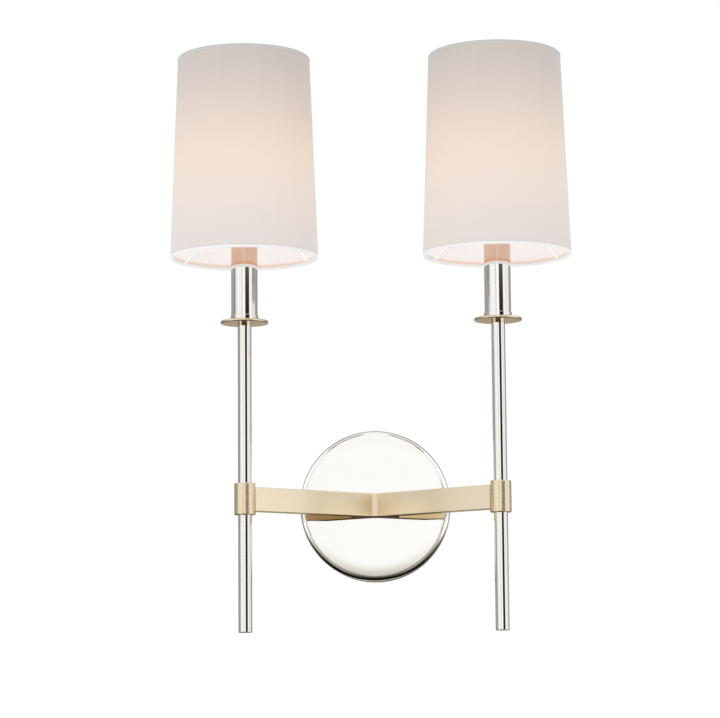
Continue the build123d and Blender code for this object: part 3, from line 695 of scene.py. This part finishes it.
def seam_lap():
    """Height of the overlapped seam at the back, where a = 90 degrees: one cloth thickness over the lap's width, with
    an abrupt edge on one side and a soft one on the other."""
    arc = (full_turn(AROUND) - pi / 2) * CLOTH_FOOT[0]
    rise = np.clip((arc + SEAM_HALF) / LAP_EDGE, 0, 1) * np.clip((SEAM_HALF - arc) / LAP_FADE, 0, 1)
    return (LAP_RISE * rise)[None, :]


def wall_section(offset, thickness, rows):
    """Closed section of a layer of the wall: up its outer face and down its inner one."""
    rise = np.linspace(0, 1, rows)[:, None]
    outer = CLOTH_FOOT + (CLOTH_TOP - CLOTH_FOOT) * rise - outward * offset
    return np.concatenate([outer, (outer - outward * thickness)[::-1]])


def cloth_map(section):
    """Place of each point on the cloth: along the turn, measured at the foot, and up the slant, in metres."""
    along = full_turn(AROUND) * CLOTH_FOOT[0]
    up = (section - CLOTH_FOOT) @ slant
    return np.stack(np.broadcast_arrays(along[None, :], up[:, None]), -1)


cloth_line = wall_section(0, CLOTH_T, CLOTH_ROWS)
liner_line = wall_section(CLOTH_T + LAYER_GAP, LINER_T, LINER_ROWS)
print("sections:", len(cloth_line), "points of cloth,", len(liner_line), "of liner")

# %% [markdown]
# ## Hems
# A tape folded over the wire covers the cloth's edge at each end. A tube round the wire would be simpler, but the
# tape lies flat on the cloth and the liner, so its section is a straight run, a half turn and a run back.

# %% Section of the hems
HEM_REACH, HEM_BULGE, HEM_TAPE = 0.0008, 0.00022, 0.00020
BEND_POINTS, RUN_POINTS = 19, 7


def hem_section(wire, sign):
    """Closed section of a hem tape round a wire: an outer path of a straight run, a half turn and a straight run back,
    and the same path moved inwards by the tape's thickness. sign is 1 for the top hem and -1 for the foot."""
    bend = np.linspace(0, pi, BEND_POINTS)
    run = np.linspace(1, 0, RUN_POINTS)[:, None] * HEM_REACH
    up = slant * sign

    def tape_path(radius):
        straight = wire + outward * radius - up * run
        half = wire + np.outer(np.cos(bend), outward) * radius + np.outer(np.sin(bend), up) * radius
        back = wire - outward * radius - up * run[::-1]
        return np.concatenate([straight, half[1:-1], back])

    return np.concatenate([tape_path(HEM_R + HEM_BULGE), tape_path(HEM_R + HEM_BULGE - HEM_TAPE)[::-1]])


hem_lines = {"top": hem_section(TOP_WIRE, 1), "foot": hem_section(FOOT_WIRE, -1)}
print("hems:", len(hem_lines["top"]), "points each")

# %% [markdown]
# ## Surfaces of a shade
# All four ride on their shade's body, so they turn with it, and the cloth stands in for the frame's plain wall.

# %% Shade surfaces
LAYERS = {
    "cloth": (cloth_line, seam_lap()), "liner": (liner_line, None),
    "top_hem": (hem_lines["top"], None), "foot_hem": (hem_lines["foot"], None),
}
shade_pieces = {}
for side, axis in AXES.items():
    body = f"{side}_shade"
    pieces = [
        surface(f"{body}_{word}", [carry_round(line, axis, swell)], wrap_rows=True, place_map=cloth_map(line))
        for word, (line, swell) in LAYERS.items()
    ]
    for piece in pieces:
        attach(piece, body)
    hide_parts(f"{side}_shade_wall")
    shade_pieces[side] = pieces
print("shades:", [piece.name for pieces in shade_pieces.values() for piece in pieces])

# %% [markdown]
# ## Weave
# The cloth is a fine pale linen: a plain weave too small to see from a distance, with thicker threads that show as
# faint streaks both ways. Real threads would be millions of faces, so the weave is a relief, the product of two
# sines, and the streaks are noise stretched along each direction. Cloth, liner and hem tape share it as a group.

# %% Weave group
SLUB_STRETCHES = ((1500.0, 22.0, 0.0), (22.0, 1500.0, 0.0), (420.0, 9.0, 0.0))

weave, ends_in, ends_out = new_group(
    "plain_weave", [("Place", "Vector", None), ("Pitch", "Float", 0.0004)], ["Height", "Slubs"]
)
place = add_node(weave, "SeparateXYZ", {0: ends_in.outputs["Place"]})
threads_by = [math(weave, "DIVIDE", place.outputs[letter], ends_in.outputs["Pitch"]) for letter in ("X", "Y")]
waves = [math(weave, "SINE", math(weave, "MULTIPLY", count, pi)) for count in threads_by]
over = math(weave, "MULTIPLY", *waves)
weave.links.new(math(weave, "MULTIPLY_ADD", over, 0.5, 0.5), ends_out.inputs["Height"])
slub_values = []
for stretch in SLUB_STRETCHES:
    spot = add_node(weave, "VectorMath", {0: ends_in.outputs["Place"], 1: stretch}, operation="MULTIPLY")
    slub_values.append(add_node(weave, "TexNoise", {"Vector": spot.outputs[0], "Scale": 1.0, "Detail": 2.0}).outputs[0])
slub_sum = math(weave, "ADD", math(weave, "ADD", slub_values[0], slub_values[1]), slub_values[2])
weave.links.new(math(weave, "DIVIDE", slub_sum, float(len(SLUB_STRETCHES))), ends_out.inputs["Slubs"])
print("group:", weave.name)

# %% [markdown]
# ## Cloth
# The lamp behind the cloth adds a warm glow that is strongest at the lamp's height. A translucent shader would find
# that glow with much noise, so it is painted light: an emission colour by height, thinned where a thread is thick.
# Near the foot the painted glow turns neutral, which makes the lower cloth lighter.

# %% Cloth
WEAVE_PITCH, THREAD_RELIEF = 0.00042, 6e-5
# Painted shade: in distant mirrors the cloth is darker and has no glow.
FAR_CLOTH, NO_GLOW = (0.40, 0.38, 0.36, 1), (0, 0, 0, 1)


def woven(tree, pitch):
    """Place on the cloth, its height up the slant, and the weave there."""
    place = add_node(tree, "UVMap", uv_map="cloth").outputs[0]
    up = add_node(tree, "SeparateXYZ", {0: place}).outputs["Y"]
    return up, use_group(tree, weave, {"Place": place, "Pitch": pitch})


cloth_finish, tree, shader = new_finish(
    "shade_cloth", Roughness=0.85, Emission_Strength=1.0, Sheen_Weight=0.45, Specular_IOR_Level=0.2
)
up, threads = woven(tree, WEAVE_PITCH)
slubs = threads.outputs["Slubs"]
cloth_colour = blend_colour(tree, slubs, (0.635, 0.578, 0.549, 1), (0.81, 0.742, 0.710, 1))
link_close(tree, shader.inputs["Base Color"], cloth_colour, FAR_CLOTH)
# Painted light: the lamp's glow through the cloth by height. It is neutral near the foot, where it lightens the lower
# cloth.
glow = ramp(tree, math(tree, "DIVIDE", up, CLOTH_RUN), [
    (0.0, (0.17, 0.165, 0.165)), (0.12, (0.205, 0.185, 0.17)), (0.30, (0.275, 0.21, 0.16)),
    (0.46, (0.30, 0.21, 0.13)), (0.64, (0.21, 0.14, 0.08)), (0.85, (0.07, 0.042, 0.025)), (1.0, 0.0),
], "B_SPLINE")
thin = spread(tree, slubs, 1.25, 0.75)
thin_grey = add_node(tree, "CombineColor", {0: thin, 1: thin, 2: thin}).outputs[0]
link_close(tree, shader.inputs["Emission Color"], blend_colour(tree, 1.0, glow, thin_grey, "MULTIPLY"), NO_GLOW)
bump(tree, shader, threads.outputs["Height"], THREAD_RELIEF, 0.5)
print("finish:", cloth_finish.name)

# %% [markdown]
# ## Liner
# The liner is a white sheet, lit from both sides. Its glow is painted light: a neutral one for the studio light that
# comes through the cloth, and a warm one with a warmer, lamp-lit copy of its colour where metal mirrors it, since the
# polished sleeve mirrors it as warm as candle light while the eye sees it nearly white. A warm band of painted lamp
# light lies at its foot, just above the hem.

# %% Liner
# Painted shade: in distant mirrors the liner and hem tape are darker.
FAR_LINING = (0.38, 0.41, 0.44, 1)
SHEET_DARK, SHEET_LIGHT = (0.70, 0.69, 0.68, 1), (0.76, 0.75, 0.74, 1)
# Painted light: a warm lamp-lit copy of the sheet for mirrors, and a warm band of lamp light at the foot.
MIRROR_LAMPLIT_SHEET, FOOT_WARM_LIGHT = (0.67, 0.60, 0.52, 1), (0.66, 0.42, 0.28, 1)
# Painted light: a neutral glow for studio light through the cloth, and a warm lamp glow for mirrors.
SHEET_GLOW, MIRRORED_GLOW = (0.293, 0.290, 0.300, 1), (0.17, 0.035, 0.0, 1)

liner_finish, tree, shader = new_finish("shade_liner", Specular_IOR_Level=0.3, Emission_Strength=1.0)
up, threads = woven(tree, WEAVE_PITCH)
# Painted light: a warm band of lamp light just above the foot hem.
warm_foot_light = ramp(tree, math(tree, "DIVIDE", up, CLOTH_RUN), [(0.0, 1.0), (0.010, 1.0), (0.026, 0.0), (1.0, 0.0)])
mirrored = add_node(tree, "LightPath").outputs["Is Glossy Ray"]
sheet = blend_colour(tree, threads.outputs["Slubs"], SHEET_DARK, SHEET_LIGHT)
liner_colour = blend_colour(tree, warm_foot_light, blend_colour(tree, mirrored, sheet, MIRROR_LAMPLIT_SHEET), FOOT_WARM_LIGHT)
link_close(tree, shader.inputs["Base Color"], liner_colour, FAR_LINING)
through = blend_colour(tree, mirrored, SHEET_GLOW, MIRRORED_GLOW)
link_close(tree, shader.inputs["Emission Color"], through, NO_GLOW)
tree.links.new(spread(tree, threads.outputs["Slubs"], 0.5, 0.65), shader.inputs["Roughness"])
print("finish:", liner_finish.name)

# %% [markdown]
# ## Hem tape
# The tape is the cloth's own colour, but folded round the wire it is thicker. At the foot hem a painted glow lights it
# white, and the top hem has none. Painted shade makes its upper edge at the top hem greyer, and at the foot a thin
# painted shadow line, darker and with less glow, marks where it ends on the cloth.

# %% Hem tape
TAPE_PITCH = 0.00036
# Painted shade on the top hem's upper edge, and a painted shadow line where the foot tape ends on the cloth.
TOP_SHADE_START, TOP_SHADE_END = CLOTH_RUN + 0.35 * HEM_R, CLOTH_RUN + 0.7 * HEM_R
FOOT_SHADOW_START, FOOT_SHADOW_END = HEM_REACH * 0.35, 0.05

hem_finish, tree, shader = new_finish("shade_hem_tape", Roughness=0.8, Specular_IOR_Level=0.2, Emission_Strength=1.0)
up, threads = woven(tree, TAPE_PITCH)
top_edge_shade = add_node(tree, "MapRange", {0: up, 1: TOP_SHADE_START, 2: TOP_SHADE_END}).outputs[0]
foot_shadow_line = math(
    tree, "MULTIPLY", math(tree, "GREATER_THAN", up, FOOT_SHADOW_START), math(tree, "LESS_THAN", up, FOOT_SHADOW_END)
)
tape = blend_colour(tree, threads.outputs["Slubs"], (0.68, 0.685, 0.665, 1), (0.80, 0.80, 0.78, 1))
# Painted shadow line at the foot, then painted shade on the top hem's upper edge.
shadow_lined_tape = blend_colour(tree, foot_shadow_line, tape, (0.67, 0.665, 0.64, 1))
hem_colour = blend_colour(tree, top_edge_shade, shadow_lined_tape, (0.52, 0.53, 0.505, 1))
link_close(tree, shader.inputs["Base Color"], hem_colour, FAR_LINING)
# Painted light: the foot hem glows white, and the top hem has no glow.
hem_glow = ramp(tree, math(tree, "DIVIDE", up, CLOTH_RUN), [(0.0, 0.26), (0.4, 0.0), (1.0, 0.0)])
shadow_lined_glow = blend_colour(tree, foot_shadow_line, hem_glow, (0.10, 0.09, 0.08, 1))
link_close(tree, shader.inputs["Emission Color"], shadow_lined_glow, NO_GLOW)
bump(tree, shader, threads.outputs["Height"], THREAD_RELIEF, 0.6)

for pieces in shade_pieces.values():
    for piece, finish in zip(pieces, (cloth_finish, liner_finish, hem_finish, hem_finish)):
        piece.data.materials.append(finish)
print("cloth, liner and hem tape on", len(shade_pieces), "shades")

# %% [markdown]
# ## Screws
# The frame's screws are plain turned shapes. A real one has a cross-shaped recess for the driver and a rolled thread,
# and both are easy on a grid: the recess lowers the dome where a point lies inside the cross, and the thread moves
# the shank's radius in and out as the point goes round and along. One surface serves the plate, hub and earth screws.

# %% Screw surface
SCREW_R, HEAD_R, HEAD_H = 0.0020, 0.0036, 0.0024
EDGE_SHARE, HEAD_CHAMFER, DOME_RINGS = 0.2, 0.0001, 30
THREAD_PITCH, THREAD_DEPTH, ROWS_PER_THREAD, LEAST_ROWS = 0.0008, 0.00018, 8, 24
SHANK_START, POINT_LEN, POINT_SHARE = 0.0002, 0.0006, 0.75
CROSS_HALF, CROSS_REACH, CROSS_DEPTH, CROSS_EDGE = 0.00042, 0.0021, 0.0011, 0.00012


def fade(distance, limit):
    """1 inside a limit and 0 outside it, over a narrow edge."""
    return np.clip((limit - distance) / CROSS_EDGE + 0.5, 0, 1)


def screw_points(seat, way, grip, around=72):
    """Screw on a seat point, with its head along way: a dome h = H (1 - (1 - e) (r / R)^2), with e the edge's share,
    lowered inside the cross, the head's underside, a shank whose radius is R - d (1 + cos(turn + 2 pi h / pitch)) / 2,
    and a small point."""
    turn = full_turn(around)[None, :]
    one = np.ones_like(turn)
    dome_r = np.linspace(0, HEAD_R, DOME_RINGS)[:, None] * one
    x, y = dome_r * np.cos(turn), dome_r * np.sin(turn)
    cross = np.maximum(
        fade(abs(x), CROSS_HALF) * fade(abs(y), CROSS_REACH), fade(abs(y), CROSS_HALF) * fade(abs(x), CROSS_REACH)
    )
    dome_h = HEAD_H * (1 - (dome_r / HEAD_R) ** 2 * (1 - EDGE_SHARE)) - CROSS_DEPTH * cross
    dome_h[-1] = HEAD_H * EDGE_SHARE
    rim_r = np.array([HEAD_R, HEAD_R - HEAD_CHAMFER, SCREW_R])[:, None] * one
    rim_h = np.array([HEAD_CHAMFER, 0.0, 0.0])[:, None] * one
    rows = max(LEAST_ROWS, int(grip / THREAD_PITCH * ROWS_PER_THREAD))
    shank_h = -np.linspace(SHANK_START, grip - POINT_LEN, rows)[:, None] * one
    shank_r = SCREW_R - THREAD_DEPTH * (1 + np.cos(turn + 2 * pi * shank_h / THREAD_PITCH)) / 2
    end_r = np.array([SCREW_R * POINT_SHARE, 0.0])[:, None] * one
    end_h = np.full_like(end_r, -grip)
    radius = np.concatenate([dome_r, rim_r, shank_r, end_r])
    height = np.concatenate([dome_h, rim_h, shank_h, end_h])
    third = Vector(way).normalized()
    first = third.orthogonal().normalized()
    second = third.cross(first)
    local = np.stack([radius * np.cos(turn), radius * np.sin(turn), height], -1)
    return np.array(seat) + local @ np.array([first, second, third])


print("screw head:", DOME_RINGS, "rings on a radius of", HEAD_R, "m")

# %% [markdown]
# ## Where the screws sit
# Two hold the plate to the strap from its sides, two hold the hub from behind, and a green one is for the earth lead.
# Their places come from the boxes of what they hold.

# %% Screws on the plate, hub and strap
PLATE_SCREW_Y, PAST_STRAP = -0.010, 0.0033
plate_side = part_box("backplate")[1].x
stiff_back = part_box("stiffener_plate")[1].y
ground_low, ground_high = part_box("ground_screw")
hub_low, hub_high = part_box("hub_screws")
plate_grip = plate_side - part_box("mounting_strap")[1].x + PAST_STRAP
hub_x, hub_z = hub_high.x - HEAD_R, hub_high.z - HEAD_R
screw_sets = {
    "plate_screws": [((s * plate_side, PLATE_SCREW_Y, 0), (s, 0, 0), plate_grip) for s in (-1, 1)],
    "hub_screws": [((s * hub_x, stiff_back, s * hub_z), (0, 1, 0), stiff_back - hub_low.y) for s in (-1, 1)],
    "ground_screw": [(((ground_low.x + ground_high.x) / 2, ground_low.y + HEAD_H, 0), (0, -1, 0),
                      ground_high.y - ground_low.y - HEAD_H)],
}
SCREW_FINISH = {"plate_screws": "polished_nickel", "hub_screws": "zinc_steel", "ground_screw": "earth_green"}
for name, places in screw_sets.items():
    piece = surface(f"{name}_cross_head", [screw_points(*place) for place in places], sharp=40)
    piece.data.materials.append(finishes[SCREW_FINISH[name]])
    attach(piece, "frame")
    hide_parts(name)
    print(piece.name, len(piece.data.polygons), "faces")

# %% [markdown]
# ## Set screws
# A set screw with a six-sided socket in the back of each collar grips the rod. Its outline is a circle outside and a
# hexagon inside: the hexagon's radius at a turn is half its width over the cosine of the angle to the nearest flat.

# %% Set screw surface
set_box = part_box("collar_screws")
SET_R, SET_TURN = 0.0020, radians(30)
SET_START, SET_END = 0.0064, 0.0095
SET_LEN = SET_END - SET_START
SOCKET_FLAT, SOCKET_DEPTH = 0.0010, 0.0016
CUP_DEPTH, RIM_CUT, SMALL_CUT = 0.0004, 0.0003, 0.0001


def set_screw_points(axis, sign, around=96):
    """Headless screw from the rod's face outwards: cup point, side, chamfered rim, hexagonal socket and its floor, each
    row a radius and a height."""
    turn = full_turn(around)[None, :]
    flat_angle = (turn + pi / 6) % (pi / 3) - pi / 6
    hexagon = SOCKET_FLAT / np.cos(flat_angle)
    one = np.ones_like(turn)
    rows = (
        (0 * one, CUP_DEPTH), (0.6 * SET_R * one, 0.0), (SET_R * 0.9 * one, SMALL_CUT), (SET_R * one, CUP_DEPTH),
        (SET_R * one, SET_LEN - RIM_CUT), (SET_R * 0.86 * one, SET_LEN), (hexagon * 1.12, SET_LEN),
        (hexagon, SET_LEN - SMALL_CUT), (hexagon, SET_LEN - SOCKET_DEPTH), (0 * one, SET_LEN - SOCKET_DEPTH),
    )
    radius = np.concatenate([row[0] for row in rows])
    height = SET_START + np.array([row[1] for row in rows])[:, None] * one
    out = Vector((sign * sin(SET_TURN), cos(SET_TURN), 0))
    first = Vector((0, 0, 1))
    second = out.cross(first)
    local = np.stack([radius * np.cos(turn), radius * np.sin(turn), height], -1)
    return np.array((*axis, 0)) + local @ np.array([first, second, out])


set_screws = surface(
    "collar_set_screws", [set_screw_points(AXES[side], sign) for side, sign in (("left", -1), ("right", 1))], sharp=25
)
set_screws.data.materials.append(finishes["satin_brass"])
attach(set_screws, "frame")
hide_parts("collar_screws")
print("set screws:", len(set_screws.data.polygons), "faces in", rounded(set_box))

# %% [markdown]
# ## Twist-on connectors
# The leads behind the plate are joined in two moulded connectors with ribs for the fingers. A cone with ribs is one
# line of arithmetic more than a cone: the radius dips with the cosine of the turn, except at the skirt and the tip.

# %% Connector surface
MOUTH_R, TIP_R, CONNECTOR_LEN, BORE_R, BORE_LEN = 0.0055, 0.0036, 0.022, 0.0027, 0.014
MOUTH_Z, CONNECTOR_Y = 0.018, -0.012
RIBS, RIB_DEPTH, RIB_START, RIB_END, RIB_FADE = 16, 0.00045, 0.16, 0.95, 0.05
TIP_H, MOUTH_WALL, FLARE_LEN, INSET = 0.001, 0.0009, 0.006, 0.0001


def connector_points(sign, around=192):
    """Ribbed cone with a plain skirt at the mouth, a domed tip and a bore, pointing up or down from the mouth."""
    turn = full_turn(around)[None, :]
    one = np.ones_like(turn)
    part = np.linspace(0, 1, 40)[:, None]
    cone = MOUTH_R + (TIP_R - MOUTH_R) * part - INSET
    ribbed = np.clip((part - RIB_START) / RIB_FADE, 0, 1) * np.clip((RIB_END - part) / RIB_FADE, 0, 1)
    outer_r = cone - RIB_DEPTH * ribbed * (0.5 + 0.5 * np.cos(RIBS * turn))
    outer_z = part * (CONNECTOR_LEN - TIP_H) * one
    tip = np.linspace(0, pi / 2, 8)[1:, None]
    tip_r = outer_r[-1:] * np.cos(tip)
    tip_z = CONNECTOR_LEN - TIP_H + TIP_H * np.sin(tip) * one
    bore_r = np.array([0.0, BORE_R * 0.9, BORE_R, MOUTH_R - MOUTH_WALL])[:, None] * one
    bore_z = np.array([BORE_LEN, BORE_LEN, FLARE_LEN, 0.0])[:, None] * one
    radius = np.concatenate([bore_r, outer_r, tip_r])
    height = MOUTH_Z + np.concatenate([bore_z, outer_z, tip_z])
    return np.stack([radius * np.cos(turn), CONNECTOR_Y + radius * np.sin(turn), sign * height], -1)


connectors = surface("ribbed_connectors", [connector_points(sign) for sign in (1, -1)], sharp=40)
connectors.data.materials.append(finishes["connector_orange"])
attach(connectors, "frame")
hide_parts("wire_connectors")
print("connectors:", len(connectors.data.polygons), "faces")
